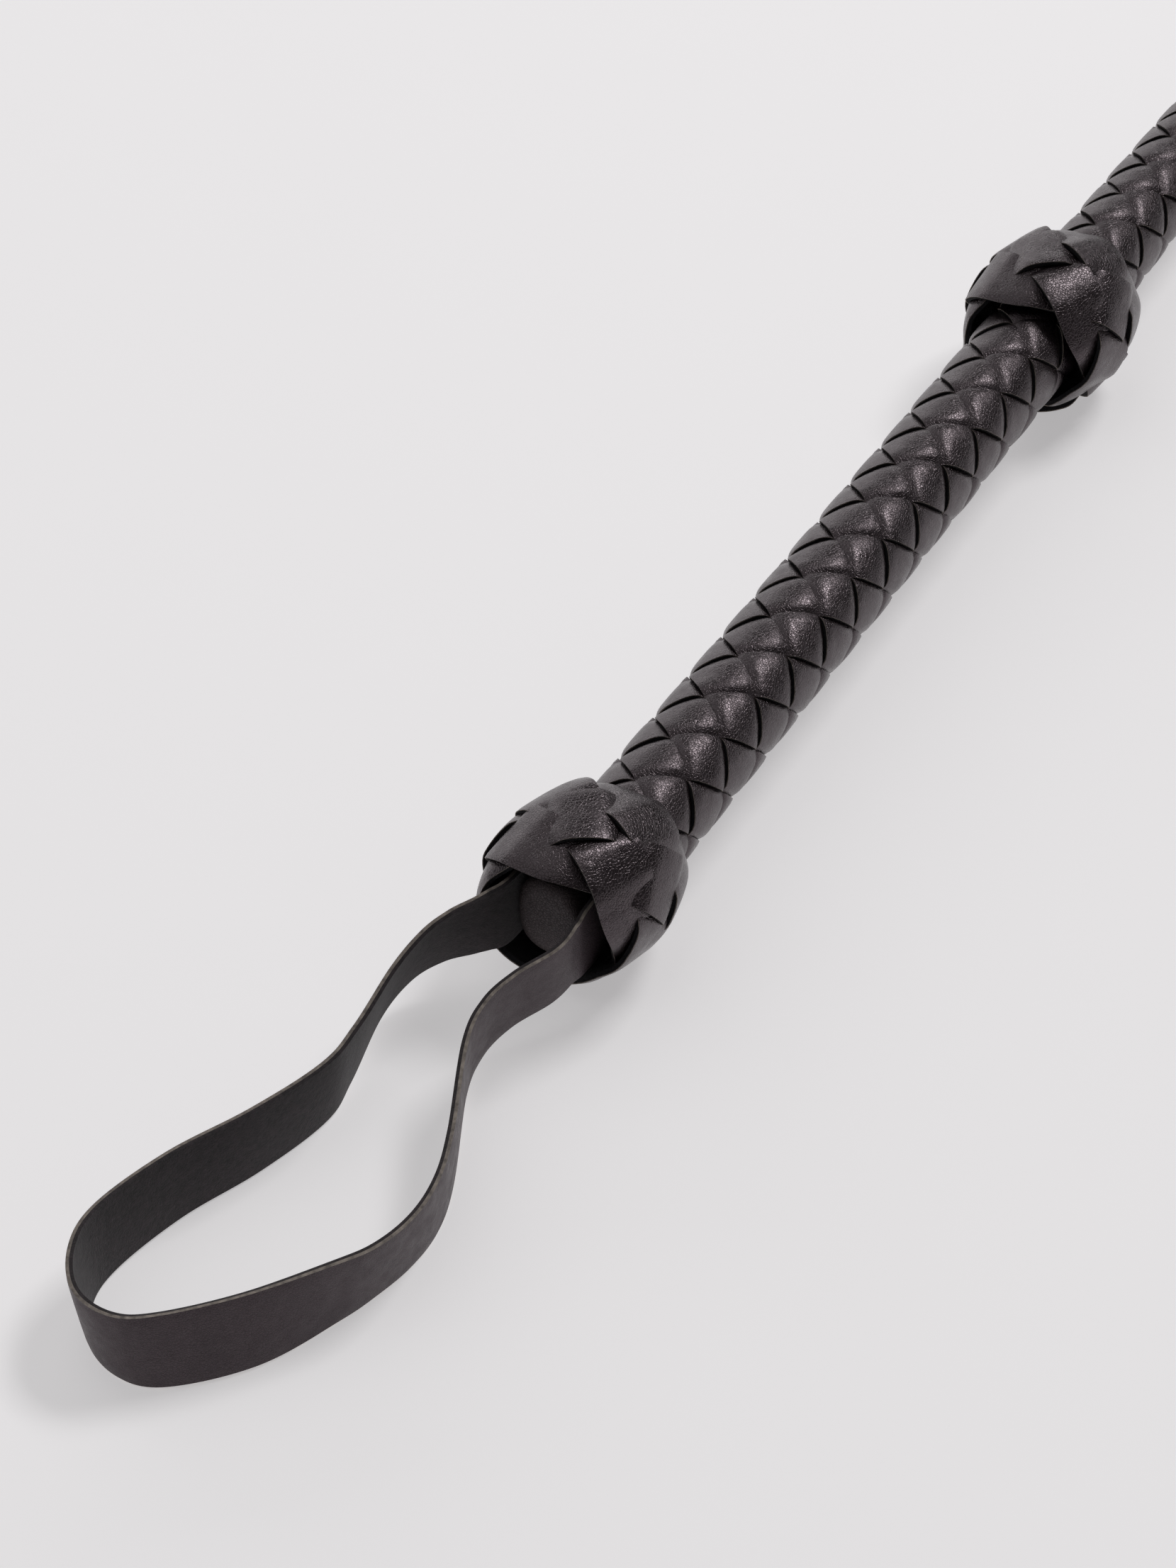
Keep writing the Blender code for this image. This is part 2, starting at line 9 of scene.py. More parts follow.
import bmesh
import bpy
import numpy as np
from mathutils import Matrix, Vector


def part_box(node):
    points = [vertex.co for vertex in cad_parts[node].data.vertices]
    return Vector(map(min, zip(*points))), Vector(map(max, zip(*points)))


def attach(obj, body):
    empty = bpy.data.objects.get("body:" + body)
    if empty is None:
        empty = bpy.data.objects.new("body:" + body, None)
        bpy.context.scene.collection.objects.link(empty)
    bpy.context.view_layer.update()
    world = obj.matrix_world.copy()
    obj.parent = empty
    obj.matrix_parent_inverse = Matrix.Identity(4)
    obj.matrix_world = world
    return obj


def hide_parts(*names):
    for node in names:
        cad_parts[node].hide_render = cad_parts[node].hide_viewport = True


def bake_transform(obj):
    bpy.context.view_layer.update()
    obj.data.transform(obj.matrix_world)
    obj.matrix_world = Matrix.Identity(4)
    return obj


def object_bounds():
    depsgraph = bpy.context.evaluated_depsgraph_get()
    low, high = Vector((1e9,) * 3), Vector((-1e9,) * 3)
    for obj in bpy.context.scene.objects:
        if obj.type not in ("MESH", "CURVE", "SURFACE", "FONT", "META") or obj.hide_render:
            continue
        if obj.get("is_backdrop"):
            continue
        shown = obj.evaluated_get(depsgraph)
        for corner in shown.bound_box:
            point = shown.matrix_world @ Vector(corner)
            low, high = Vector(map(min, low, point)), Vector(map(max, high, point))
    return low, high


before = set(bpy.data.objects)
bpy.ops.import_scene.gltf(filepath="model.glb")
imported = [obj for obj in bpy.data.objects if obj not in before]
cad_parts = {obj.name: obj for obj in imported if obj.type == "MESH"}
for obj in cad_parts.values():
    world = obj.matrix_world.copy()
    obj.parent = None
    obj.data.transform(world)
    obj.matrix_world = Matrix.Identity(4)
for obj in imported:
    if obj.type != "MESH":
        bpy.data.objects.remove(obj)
cad_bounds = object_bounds()

MM = 0.001

# Where the handle's line and the butt end lie in the frame
CAP_STATION = 4.5 * MM
ring_low, ring_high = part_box("ring_knot_strand")
cap_low, cap_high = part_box("end_cap")
BUTT = np.array(
    [
        cap_low[0] - CAP_STATION,
        (ring_low[1] + ring_high[1]) / 2,
        (ring_low[2] + ring_high[2]) / 2,
    ]
)

# Shaft centre line
RING_STATION = 198 * MM
COLLAR_STATION = 555 * MM
KEEPER_SLOPE = 0.02
TIP_DROOP = 9.411 * MM

# Braid lattice
BUTT_RADIUS = 10.8 * MM
SHAFT_RADIUS = 9.9 * MM
TIP_RADIUS = 3.9 * MM
TAPER_START = 216 * MM
SHAFT_END = 548 * MM
ROW_START = 40 * MM
ROW_PITCH = 12.4 * MM
FIRST_COLUMN = math.radians(53.7)
COLUMN_ANGLE = math.radians(45)
STRAND_PAIRS = 4
LATTICE_ROWS = np.arange(-4, 70)

# A braid strand: how far it rises where it passes over, its leather, and its small irregularities
STRAND_LIFT = 1.15 * MM
STRAND_THICKNESS = 1.0 * MM
STRAND_CROWN = 0.15 * MM
STRAND_CURL = 0.25 * MM
STRAND_DIVE = 0.25
DIVE_SHARPNESS = 5
STRAND_WOBBLE = 0.1 * MM
STRAND_NARROWING = 0.03


def droop(station):
    """How far the centre line hangs below the handle's line."""
    along = (station - RING_STATION) / (COLLAR_STATION - RING_STATION)
    beyond = np.maximum(station - COLLAR_STATION, 0)
    return TIP_DROOP * np.clip(along, 0, 1) ** 2 + KEEPER_SLOPE * beyond


def braid_radius(station):
    handle = BUTT_RADIUS + (SHAFT_RADIUS - BUTT_RADIUS) * station / TAPER_START
    along = np.clip((station - TAPER_START) / (SHAFT_END - TAPER_START), 0, 1)
    shaft = SHAFT_RADIUS + (TIP_RADIUS - SHAFT_RADIUS) * along
    return np.where(station < TAPER_START, handle, shaft)


def row_station(row):
    """The station of a braid row: even on the handle, then closer as the shaft's radius shrinks."""
    taper_row = (TAPER_START - ROW_START) / ROW_PITCH
    slope = (TIP_RADIUS - SHAFT_RADIUS) / (SHAFT_END - TAPER_START)
    beyond = np.maximum(row - taper_row, 0)
    radius = SHAFT_RADIUS * np.exp(beyond * ROW_PITCH * slope / SHAFT_RADIUS)
    even = ROW_START + ROW_PITCH * np.minimum(row, taper_row)
    return even + (radius - SHAFT_RADIUS) / slope


def around(station, radius, angle):
    """Points at this distance from the centre line, with the angle counted from +Z towards +Y."""
    return np.stack(
        [
            station,
            radius * np.sin(angle),
            radius * np.cos(angle) - droop(station),
        ],
        axis=-1,
    )


# Strips of leather

GRAIN_FACE = 0
CUT_COATING = 1
BACKING = 2
CROWN_POWER = 2.2
BACK_SHARE = 0.985


def add_mesh(name, points, faces, slots, materials, smooth_angle=40):
    mesh = bpy.data.meshes.new(name)
    mesh.from_pydata((np.asarray(points) + BUTT).tolist(), [], faces)
    for material in materials:
        mesh.materials.append(material)
    mesh.polygons.foreach_set("material_index", slots)
    shell = bmesh.new()
    shell.from_mesh(mesh)
    bmesh.ops.recalc_face_normals(shell, faces=shell.faces)
    shell.to_mesh(mesh)
    shell.free()
    mesh.shade_smooth()
    mesh.set_sharp_from_angle(angle=math.radians(smooth_angle))
    mesh.update()
    obj = bpy.data.objects.new(name, mesh)
    bpy.context.scene.collection.objects.link(obj)
    return obj


def strip_section(thickness, crown, across, rim=0.12 * MM, coat=0.3 * MM):
    """The strip's section: share of the half width, height, and material slot of the side that follows."""
    section = []
    for i, share in enumerate(np.linspace(-1, 1, across + 1)):
        drop = rim if i in (0, across) else 0.0
        height = thickness + crown * (1 - abs(share) ** CROWN_POWER) - drop
        section.append((share, height, GRAIN_FACE))
    section[-1] = (*section[-1][:2], CUT_COATING)
    section.append((1.0, thickness - coat, BACKING))
    section.append((BACK_SHARE, 0.0, BACKING))
    section.append((0.0, 0.0, BACKING))
    section.append((-BACK_SHARE, 0.0, BACKING))
    section.append((-1.0, thickness - coat, CUT_COATING))
    return section


def strip(name, count, place, section, closed, materials):
    """A strip swept through its stops; place(share, height) gives every stop's point of the section."""
    size = len(section)
    points = np.empty((count, size, 3))
    for j, (share, height, _) in enumerate(section):
        points[:, j] = place(share, height)
    faces, slots = [], []
    for i in range(count if closed else count - 1):
        near, far = i * size, (i + 1) % count * size
        for j in range(size):
            k = (j + 1) % size
            faces.append((near + j, near + k, far + k, far + j))
            slots.append(section[j][2])
    if not closed:
        faces.append(tuple(range(size))[::-1])
        faces.append(tuple((count - 1) * size + j for j in range(size)))
        slots += [BACKING, BACKING]
    return add_mesh(name, points.reshape(-1, 3), faces, slots, materials)


def weave_height(along, over_when_even):
    """0 in a cell where a strand passes under, 1 where it passes over, STRAND_DIVE between cells."""
    cell = np.floor(along)
    away = np.abs(2 * (along - cell) - 1) ** DIVE_SHARPNESS
    over = (cell % 2 == 0) == over_when_even
    return np.where(over, 1 - (1 - STRAND_DIVE) * away, STRAND_DIVE * away)


def braid_strand(name, number, rising, first, last, fineness, across, materials, seed):
    """One strand of the eight between two stations, over one and under one."""
    middle = number + 0.5
    rows = np.interp([first, last], row_station(LATTICE_ROWS), LATTICE_ROWS)
    start, end = 2 * rows - middle
    count = int((end - start) * fineness)
    along = np.linspace(start, end, count)
    over = weave_height(along, (number % 2 == 0) == rising)
    random = np.random.default_rng(seed)
    cells = np.arange(math.floor(start) - 1, math.ceil(end) + 2)
    wobble = np.interp(along, cells, random.uniform(-1, 1, len(cells)))
    uneven = np.interp(along, cells, random.uniform(-1, 1, len(cells)))
    narrow = 1 - STRAND_NARROWING * np.abs(uneven)

    def place(share, height):
        own = middle + share / 2 * narrow
        column = (along - own) if rising else (own - along)
        station = row_station((own + along) / 2)
        outer = braid_radius(station)
        scale = outer / SHAFT_RADIUS
        full = STRAND_LIFT + STRAND_THICKNESS + STRAND_CROWN
        curl = STRAND_CURL * max(-share, 0) ** 3 * over
        lift = over * STRAND_LIFT + height + curl + STRAND_WOBBLE * wobble
        radius = outer + (lift - full) * scale
        return around(station, radius, FIRST_COLUMN - COLUMN_ANGLE * column)

    section = strip_section(STRAND_THICKNESS, STRAND_CROWN, across)
    return strip(name, count, place, section, False, materials)


# Knots

KNOT_THICKNESS = 1.2 * MM
KNOT_CROWN = 0.1 * MM
KNOT_RISE = 1.3 * MM
KNOT_CURL = 0.7 * MM
KNOT_WOBBLE = 0.12 * MM
KNOT_STOPS = 16
KNOT_FACETS_ACROSS = 12


class KnotForm:
    """The surface that a knot is tied on: half an ellipse over a cone, turned round the centre line."""

    def __init__(self, half_length, butt_radius, far_radius, middle_radius):
        turn = np.linspace(0, math.pi, 400)
        self.offset = -half_length * np.cos(turn)
        cone = butt_radius + (far_radius - butt_radius) * (1 - np.cos(turn)) / 2
        self.radius = cone + (middle_radius - cone) * np.sin(turn)
        step = np.hypot(np.diff(self.offset), np.diff(self.radius))
        self.along = np.concatenate([[0], np.cumsum(step)])
        self.along -= self.along[-1] / 2
        self.out_offset = -np.gradient(self.radius, self.along)
        self.out_radius = np.gradient(self.offset, self.along)

    def at(self, along, height):
        """Offset and radius of the points at this height over the surface."""
        offset = np.interp(along, self.along, self.offset)
        radius = np.interp(along, self.along, self.radius)
        offset += height * np.interp(along, self.along, self.out_offset)
        radius += height * np.interp(along, self.along, self.out_radius)
        return offset, radius


def knot_heights(steps, leads, bights, plateau=0.25):
    """Over and under in turn at the crossings, halfway at the bights, with soft ramps between them."""
    total = 2 * leads * bights
    levels = []
    for step in range(total):
        crossing = step - step // leads - 1
        levels.append(0.5 if step % leads == 0 else float(crossing % 2))
    levels = np.array(levels)
    cell = np.floor(steps).astype(int)
    ramp = np.clip((steps - cell - plateau) / (1 - 2 * plateau), 0, 1)
    ramp = ramp**2 * (3 - 2 * ramp)
    here, there = levels[cell % total], levels[(cell + 1) % total]
    return here + (there - here) * ramp


def turks_head(name, centre, turn, form, reach, width, lean, materials, seed, leads=4, bights=5):
    """One closed strip that goes round once for each lead. A lean sets the knot's +Y side back."""
    total = 2 * leads * bights
    count = total * KNOT_STOPS
    steps = np.arange(count) / KNOT_STOPS
    phase = math.pi * steps / (leads * bights)
    over = knot_heights(steps, leads, bights)
    along = reach * np.cos(bights * phase)
    angle = turn + leads * phase
    radius = form.at(along, 0)[1]
    run_along = -reach * bights * np.sin(bights * phase)
    run_round = leads * radius
    run = np.hypot(run_along, run_round)
    random = np.random.default_rng(seed)
    jitter = np.interp(steps, np.arange(total + 1), random.uniform(-1, 1, total + 1))

    def place(share, height):
        reach_across = share * width / 2
        own = along - reach_across * run_round / run
        bearing = angle + reach_across * run_along / run / radius
        lift = over * KNOT_RISE + height + KNOT_CURL * share**2 * over
        offset, out = form.at(own, lift + KNOT_WOBBLE * jitter)
        station = centre[0] + offset - lean * out * np.sin(bearing)
        return around(station, out, bearing) + np.array([0, *centre[1:]])

    section = strip_section(KNOT_THICKNESS, KNOT_CROWN, KNOT_FACETS_ACROSS)
    return strip(name, count, place, section, True, materials)


# Wrist strap

STRAP_WIDTH = 15 * MM
STRAP_THICKNESS = 1.3 * MM
STRAP_CROWN = 0.08 * MM
STRAP_RIM = 0.1 * MM
STRAP_COAT = 0.7 * MM
STRAP_FACETS_ACROSS = 12
STRAP_STEPS = 12
STRAP_ROOT_HEIGHT = -0.3 * MM
STRAP_DROP = 8.7 * MM
STRAP_DROP_LENGTH = 50 * MM

# The strap's middle line seen from above (station, sideways) in millimetres, and how far its lower edge
# leans outward in degrees, going out along the left leg, round the end and back along the right leg.
LOOP_ROUTE = [
    (19.0, 9.0, 0.0),
    (12.0, 9.0, 0.0),
    (6.0, 9.0, 0.0),
    (1.5, 9.8, 0.0),
    (-2.0, 12.6, 6.0),
    (-6.0, 16.4, 12.0),
    (-11.5, 19.2, 15.0),
    (-20.0, 20.1, 14.0),
    (-33.0, 18.6, 8.0),
    (-42.0, 18.4, 3.0),
    (-57.0, 22.8, -2.0),
    (-72.0, 29.0, -6.0),
    (-87.0, 32.5, -9.0),
    (-96.0, 31.2, -7.0),
    (-102.5, 25.8, -6.0),
    (-104.4, 18.2, 2.0),
    (-101.3, 11.0, 12.0),
    (-90.5, 1.0, 12.0),
    (-77.0, -6.6, -1.0),
    (-70.0, -9.7, -7.0),
    (-62.0, -11.4, -7.0),
    (-53.5, -11.0, -4.0),
    (-44.0, -8.0, -2.0),
    (-27.0, -0.3, -3.0),
    (-18.5, 1.2, -5.0),
    (-11.5, -0.6, -7.0),
    (-4.5, -4.7, -7.0),
    (0.5, -5.8, -4.0),
    (5.0, -5.9, 0.0),
    (19.0, -5.9, 0.0),
]


def smooth_route(route, steps):
    """Points on a smooth curve through the route, with its other values carried along."""
    keys = np.array([route[0], *route, route[-1]], float)
    t = (np.arange(steps) / steps)[:, None]
    found = []
    for a, b, c, d in zip(keys, keys[1:], keys[2:], keys[3:]):
        square, cube = t**2, t**3
        found.append(
            b
            + (c - a) * t / 2
            + (2 * a - 5 * b + 4 * c - d) * square / 2
            + (3 * b - a - 3 * c + d) * cube / 2
        )
    return np.concatenate([*found, keys[-1:]])


def strap_height(station):
    """The height of the strap's middle line, which sinks towards the floor as it leaves the knot."""
    along = np.clip(-station / STRAP_DROP_LENGTH, 0, 1)
    return STRAP_ROOT_HEIGHT - STRAP_DROP * (1 - (1 - along) ** 2)


def add_strap(materials):
    route = smooth_route(LOOP_ROUTE, STRAP_STEPS)
    plan = route[:, :2] * MM
    lean = np.radians(route[:, 2])
    run = np.gradient(plan, axis=0)
    run /= np.linalg.norm(run, axis=1)[:, None]
    centre = np.column_stack([plan, strap_height(plan[:, 0])])
    outward = np.column_stack([run[:, 1], -run[:, 0], np.zeros(len(run))])
    up = np.array([0, 0, 1])
    across = up * np.cos(lean)[:, None] - outward * np.sin(lean)[:, None]
    ahead = np.gradient(centre, axis=0)
    normal = np.cross(ahead, across)
    normal /= np.linalg.norm(normal, axis=1)[:, None]

    def place(share, height):
        depth = height - STRAP_THICKNESS / 2
        return centre + across * share * STRAP_WIDTH / 2 + normal * depth

    sizes = (STRAP_THICKNESS, STRAP_CROWN, STRAP_FACETS_ACROSS, STRAP_RIM, STRAP_COAT)
    section = strip_section(*sizes)
    return strip("wrist_strap", len(centre), place, section, False, materials)


# Butt cap, tip collar and keeper

CAP_CENTRE = 1.7 * MM
CAP_HALF_WIDTH = 6.5 * MM
CAP_HALF_HEIGHT = 8.8 * MM
CAP_SQUARENESS = 2.6
CAP_FACE_STATION = CAP_STATION - 0.4 * MM
CAP_SIDES = 64

# The cap's dome and rim, from its middle out: share of the half width, depth in millimetres
CAP_PROFILE = [
    (0.02, 0.0),
    (0.35, 0.02),
    (0.7, 0.1),
    (0.86, 0.25),
    (0.94, 0.6),
    (0.985, 1.2),
    (1.0, 2.0),
    (1.0, 4.0),
    (0.97, 6.0),
]

COLLAR_SIDES = 72
COLLAR_RIPPLE = 0.06
COLLAR_RIPPLES = 9

# The collar's outside with its two rolled edges, turned in at each mouth: station, radius in millimetres
COLLAR_PROFILE = [
    (540.5, 5.6),
    (538.4, 4.5),
    (538.0, 5.3),
    (538.0, 6.3),
    (538.6, 6.75),
    (539.6, 6.8),
    (540.4, 6.45),
    (541.5, 6.5),
    (545.0, 7.0),
    (552.0, 7.15),
    (559.0, 7.1),
    (562.6, 6.7),
    (563.6, 6.6),
    (564.4, 6.95),
    (565.4, 6.9),
    (566.0, 6.4),
    (565.9, 5.2),
    (564.5, 5.6),
]

KEEPER_START = 557 * MM
KEEPER_PIVOT = 572 * MM
KEEPER_END = 650 * MM
KEEPER_LENGTH = KEEPER_END - KEEPER_PIVOT
KEEPER_HALF_WIDTH = 14 * MM
KEEPER_ROOT_HALF_WIDTH = 6 * MM
KEEPER_SHOULDER = 20 * MM
KEEPER_NECK_SHARE = 0.72
KEEPER_LEAF = 1.5 * MM
KEEPER_LEAF_GAP = 0.5 * MM
KEEPER_LEAF_OFFSET = (KEEPER_LEAF + KEEPER_LEAF_GAP) / 2
KEEPER_CROWN = 0.35 * MM
KEEPER_FACETS_ACROSS = 14
LEAVES_PART = 560 * MM
LEAVES_APART = 576 * MM
LEAVES_TOGETHER_SHARE = 0.55

STITCH_START = 597 * MM
STITCH_END = 642 * MM
STITCH_PITCH = 3.6 * MM
STITCH_LENGTH = 2.6 * MM
STITCH_RADIUS = 0.32 * MM
STITCH_FLATNESS = 0.8
STITCH_BULGE = 0.12 * MM
STITCH_SLANT = 0.12
STITCH_LINE = 11.5 * MM
STITCH_HEIGHT = 1.72 * MM
STITCH_RINGS = 7
STITCH_SIDES = 8


def skin(rings, closed=False):
    """Points and faces of a skin over equal rings, with a cap at each end unless it closes on itself."""
    size = len(rings[0])
    points = [point for ring in rings for point in ring]
    faces = []
    for i in range(len(rings) if closed else len(rings) - 1):
        near, far = i * size, (i + 1) % len(rings) * size
        for j in range(size):
            k = (j + 1) % size
            faces.append((near + j, near + k, far + k, far + j))
    if not closed:
        faces.append(tuple(range(size))[::-1])
        faces.append(tuple((len(rings) - 1) * size + j for j in range(size)))
    return points, faces


def cap_ring(share, depth):
    """One ring of the cap, a rounded square."""
    ring = []
    for j in range(CAP_SIDES):
        angle = 2 * math.pi * j / CAP_SIDES
        side, up = math.cos(angle), math.sin(angle)
        reach = abs(side) ** CAP_SQUARENESS + abs(up) ** CAP_SQUARENESS
        grow = share * reach ** (-1 / CAP_SQUARENESS)
        sideways = CAP_CENTRE + CAP_HALF_WIDTH * side * grow
        ring.append((CAP_FACE_STATION + depth, sideways, CAP_HALF_HEIGHT * up * grow))
    return ring


def add_cap(materials):
    """A leather-covered plug end, slightly domed, with a soft rim."""
    points, faces = skin([cap_ring(share, depth * MM) for share, depth in CAP_PROFILE])
    return add_mesh("cap_leather", points, faces, [GRAIN_FACE] * len(faces), materials)


def add_collar(materials):
    """A leather collar over the shaft's end: two rolled edges and a slight swell between them."""
    rings = []
    angles = 2 * math.pi * np.arange(COLLAR_SIDES) / COLLAR_SIDES
    for station, radius in COLLAR_PROFILE:
        ripple = COLLAR_RIPPLE * np.sin(COLLAR_RIPPLES * angles + station)
        along = np.full(COLLAR_SIDES, station * MM)
        rings.append(around(along, (radius + ripple) * MM, angles))
    points, faces = skin(rings, True)
    return add_mesh("collar_leather", points, faces, [GRAIN_FACE] * len(faces), materials)


def keeper_half_width(station):
    along = np.clip((station - KEEPER_PIVOT) / KEEPER_SHOULDER, 0, 1)
    grow = along**2 * (3 - 2 * along)
    full = KEEPER_ROOT_HALF_WIDTH + (KEEPER_HALF_WIDTH - KEEPER_ROOT_HALF_WIDTH) * grow
    return np.where(station < KEEPER_PIVOT, KEEPER_NECK_SHARE, 1.0) * full


def keeper_bow(station):
    """How far the middle of each leaf stands out from its edges."""
    along = np.clip((station - KEEPER_PIVOT) / KEEPER_LENGTH, 0, 1)
    return KEEPER_CROWN * np.sin(np.pi * along)


def keeper_line():
    """The folded strip's stations and heights: out along the top leaf, round the fold and back below."""
    fold = KEEPER_END - KEEPER_LEAF_OFFSET - KEEPER_LEAF / 2
    leaf = np.linspace(KEEPER_START, fold, 60)
    bend = np.radians(np.linspace(0, 180, 15)[1:-1])
    apart = np.clip((leaf - LEAVES_PART) / (LEAVES_APART - LEAVES_PART), 0, 1) ** 2
    above = KEEPER_LEAF_OFFSET * (LEAVES_TOGETHER_SHARE + (1 - LEAVES_TOGETHER_SHARE) * apart)
    station = np.concatenate([leaf, fold + KEEPER_LEAF_OFFSET * np.sin(bend), leaf[::-1]])
    lift = np.concatenate([above, KEEPER_LEAF_OFFSET * np.cos(bend), -above[::-1]])
    return station, lift


def add_keeper(materials):
    """One strip of leather folded at the keeper's end, its two leaves meeting again inside the collar."""
    station, lift = keeper_line()
    bow = keeper_bow(station) * np.sign(lift)
    half = keeper_half_width(station)
    centre = np.column_stack([station, np.zeros(len(station)), lift - droop(station)])
    ahead = np.gradient(centre, axis=0)
    sideways = np.array([0, 1, 0])
    normal = np.cross(ahead, sideways)
    normal /= np.linalg.norm(normal, axis=1)[:, None]

    def place(share, height):
        point = centre + sideways * share * half[:, None]
        point = point + normal * (height - KEEPER_LEAF / 2)
        point[:, 2] += bow * (1 - share**2)
        return point

    section = strip_section(KEEPER_LEAF, 0.0, KEEPER_FACETS_ACROSS, rim=0.2 * MM, coat=0.45 * MM)
    return strip("keeper_leather", len(station), place, section, False, materials)


def stitch_ring(station, face, side, share):
    """One ring of a slanted stitch, at this share of its length."""
    along = (share - 0.5) * STITCH_LENGTH
    here = station + along
    full = math.sqrt(max(1 - (2 * share - 1) ** 4, 0.02))
    bow = keeper_bow(here) * (1 - (STITCH_LINE / KEEPER_HALF_WIDTH) ** 2)
    height = face * (STITCH_HEIGHT + bow + STITCH_BULGE * full) - droop(here)
    centre = side * STITCH_LINE + STITCH_SLANT * along
    radius = STITCH_RADIUS * full
    ring = []
    for j in range(STITCH_SIDES):
        angle = 2 * math.pi * j / STITCH_SIDES
        up = STITCH_FLATNESS * radius * math.sin(angle)
        ring.append((here, centre + radius * math.cos(angle), height + up))
    return ring


def add_stitches(name, side, materials):
    """A row of separate slanted stitches along one edge of the keeper, on both faces."""
    points, faces = [], []
    shares = [k / (STITCH_RINGS - 1) for k in range(STITCH_RINGS)]
    for face in (1, -1):
        for station in np.arange(STITCH_START, STITCH_END, STITCH_PITCH):
            rings = [stitch_ring(station, face, side, share) for share in shares]
            own_points, own_faces = skin(rings)
            faces += [tuple(len(points) + corner for corner in own) for own in own_faces]
            points += own_points
    return add_mesh(name, points, faces, [0] * len(faces), materials, 60)


# Materials


class Nodes:
    """A small helper that adds nodes to a new material and joins them."""

    def __init__(self, name):
        self.material = bpy.data.materials.new(name)
        self.material.use_nodes = True
        self.tree = self.material.node_tree
        self.shader = self.tree.nodes["Principled BSDF"]
        self.place = self.add("ShaderNodeTexCoord").outputs["Object"]

    def add(self, kind, **settings):
        node = self.tree.nodes.new(kind)
        for key, value in settings.items():
            setattr(node, key, value)
        return node

    def join(self, source, target):
        self.tree.links.new(source, target)

    def noise(self, scale, detail=3.0, roughness=0.5, source=None):
        node = self.add("ShaderNodeTexNoise")
        node.inputs["Scale"].default_value = scale
        node.inputs["Detail"].default_value = detail
        node.inputs["Roughness"].default_value = roughness
        self.join(source or self.place, node.inputs["Vector"])
        return node

    def cells(self, scale, feature, source=None):
        node = self.add("ShaderNodeTexVoronoi", feature=feature)
        node.inputs["Scale"].default_value = scale
        self.join(source or self.place, node.inputs["Vector"])
        return node

    def bend(self, scale, amount):
        """The place, pushed about by a noise, so that cells lose their straight sides."""
        noise = self.noise(scale, 2.0)
        push = self.add("ShaderNodeVectorMath", operation="MULTIPLY_ADD")
        self.join(noise.outputs["Color"], push.inputs[0])
        push.inputs[1].default_value = (amount, amount, amount)
        self.join(self.place, push.inputs[2])
        return push.outputs["Vector"]

    def ramp(self, source, stops, linear=True):
        node = self.add("ShaderNodeValToRGB")
        if not linear:
            node.color_ramp.interpolation = "EASE"
        elements = node.color_ramp.elements
        while len(elements) < len(stops):
            elements.new(0.5)
        for element, (position, colour) in zip(elements, stops):
            element.position = position
            if isinstance(colour, (int, float)):
                colour = (colour, colour, colour)
            element.color = (*colour, 1)
        self.join(source, node.inputs["Fac"])
        return node.outputs["Color"]

    def mix(self, blend, factor, first, second):
        node = self.add("ShaderNodeMix", data_type="RGBA", blend_type=blend)
        values = {0: factor, 6: first, 7: second}
        for number, value in values.items():
            socket = node.inputs[number]
            if isinstance(value, bpy.types.NodeSocket):
                self.join(value, socket)
            elif isinstance(value, (int, float)) and socket.type == "RGBA":
                socket.default_value = (value, value, value, 1)
            else:
                socket.default_value = value
        return node.outputs[2]

    def bump(self, height, distance, strength=1.0, under=None):
        node = self.add("ShaderNodeBump")
        node.inputs["Strength"].default_value = strength
        node.inputs["Distance"].default_value = distance
        self.join(height, node.inputs["Height"])
        if under:
            self.join(under, node.inputs["Normal"])
        return node.outputs["Normal"]


LEATHER_SHEEN = (1.0, 0.84, 0.9, 1.0)
INK = (0.0058, 0.0034, 0.004)
CHARCOAL = (0.0105, 0.0067, 0.0076)


def leather(name, dark, light, roughness, grain, relief, specular=0.5):
    """Pressed faux leather: flat-topped pebbles with narrow creases. Grain and relief are in metres."""
    n = Nodes(name)
    bent = n.bend(0.8 / grain, 0.5 * grain)
    pebbles = n.cells(1 / grain, "DISTANCE_TO_EDGE", bent)
    # tops is 0 in the pebbles' creases and 1 on their flat tops; it shapes the bump and also paints shade
    # into the creases
    tops = n.ramp(pebbles.outputs["Distance"], [(0.0, 0.0), (0.16, 1.0)], False)
    tilt = n.noise(1.1 / grain, 3.0, 0.6)
    height = n.mix("MIX", 0.45, tops, tilt.outputs["Fac"])
    wrinkles = n.noise(260, 4.0, 0.6)
    slow = n.bump(wrinkles.outputs["Fac"], 0.35 * MM, 0.6)
    n.join(n.bump(height, relief, 1.0, slow), n.shader.inputs["Normal"])
    tone = n.noise(90, 3.0)
    colour = n.ramp(tone.outputs["Fac"], [(0.3, dark), (0.7, light)])
    # The base colour is halved in the creases: painted shade in the grain's creases
    n.join(n.mix("MULTIPLY", 0.5, colour, tops), n.shader.inputs["Base Color"])
    shine = n.noise(400, 3.0)
    low, high = roughness - 0.06, roughness + 0.08
    n.join(n.ramp(shine.outputs["Fac"], [(0.3, low), (0.7, high)]), n.shader.inputs["Roughness"])
    n.shader.inputs["Specular IOR Level"].default_value = specular
    n.shader.inputs["Specular Tint"].default_value = LEATHER_SHEEN
    return n.material


def cut_coating():
    """The pale taupe line of coating that shows along a cut edge."""
    n = Nodes("cut coating")
    tone = n.noise(900, 3.0)
    stops = [(0.3, (0.13, 0.11, 0.098)), (0.7, (0.36, 0.31, 0.27))]
    n.join(n.ramp(tone.outputs["Fac"], stops), n.shader.inputs["Base Color"])
    n.join(n.bump(tone.outputs["Fac"], 0.08 * MM), n.shader.inputs["Normal"])
    n.join(n.ramp(tone.outputs["Fac"], [(0.0, 0.6), (1.0, 0.9)]), n.shader.inputs["Roughness"])
    return n.material


